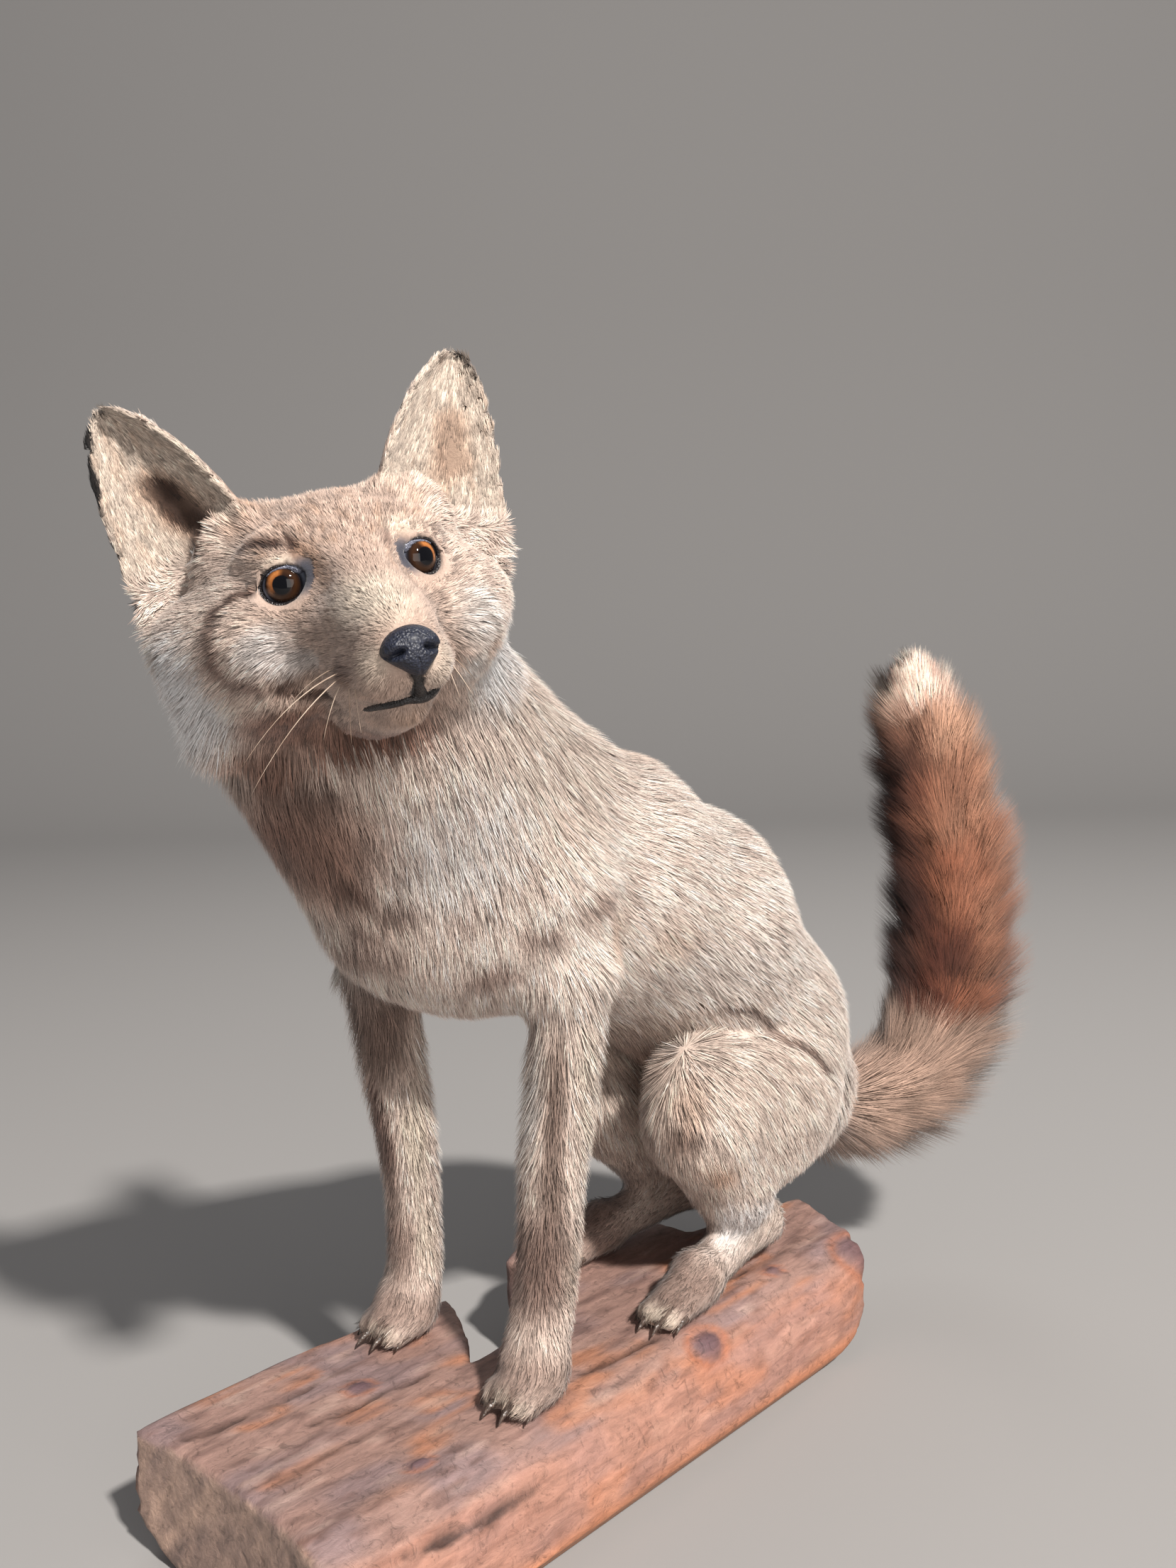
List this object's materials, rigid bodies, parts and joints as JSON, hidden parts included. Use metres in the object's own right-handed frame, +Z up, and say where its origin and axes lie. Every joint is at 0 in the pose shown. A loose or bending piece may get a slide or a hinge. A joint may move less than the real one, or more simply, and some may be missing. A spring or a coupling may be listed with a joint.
{
  "type": "taxidermy red fox on a log",
  "caption": "Life-size taxidermy red fox, sitting upright with its head turned to its left and its tail raised, on a flat-based split log.",
  "frame": {"origin": "on the log's flat underside, near its middle", "axes": "+Z up, -Y ahead of the animal's body, +X to the animal's left"},
  "size_m": [0.267, 0.6425, 0.5755],
  "materials": {
    "coat": "soft short fur, greyish tan, grizzled with dark tips",
    "brush": "long loose fur, rusty brown with a pale tip",
    "eye": "clear glossy glass eye with an amber iris and a black pupil",
    "nose": "finely pebbled, blue-black, slightly glossy",
    "claw": "smooth dark horn",
    "log": "weathered, barkless, reddish brown with purple-grey knots and fine cracks"
  },
  "bodies": {
    "root": {"head": "coat", "neck": "coat", "trunk": "coat", "foreleg_left": "coat", "foreleg_right": "coat", "hindleg_left": "coat", "hindleg_right": "coat", "tail_base": "coat", "tail_brush": "brush", "ear_left": "coat", "ear_right": "coat", "eye_left": "eye", "eye_right": "eye", "nose": "nose", "log_base": "log"}
  },
  "joints": []
}
